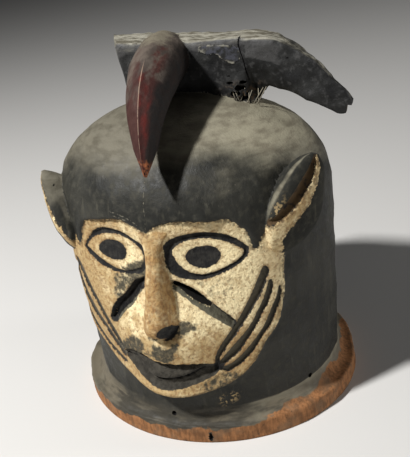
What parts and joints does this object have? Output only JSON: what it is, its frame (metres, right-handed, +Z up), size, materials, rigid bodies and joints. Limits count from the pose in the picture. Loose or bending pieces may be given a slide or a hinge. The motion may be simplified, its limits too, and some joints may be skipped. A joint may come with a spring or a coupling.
{
  "type": "helmet mask",
  "caption": "Carved wooden helmet mask that stands on its flared rim, with a painted face, leaf-shaped ears, a winged crest and a curved beak.",
  "frame": {"origin": "centre of the bounding box's underside, on the surface that the rim stands on", "axes": "+Z up through the crown, -Y the way the face looks, +X the mask's own left, towards the drooping wing"},
  "size_m": [0.301, 0.281, 0.3621],
  "materials": {
    "painted_wood": "satin"
  },
  "bodies": {
    "root": {"helmet_mask": "painted_wood"}
  },
  "joints": []
}
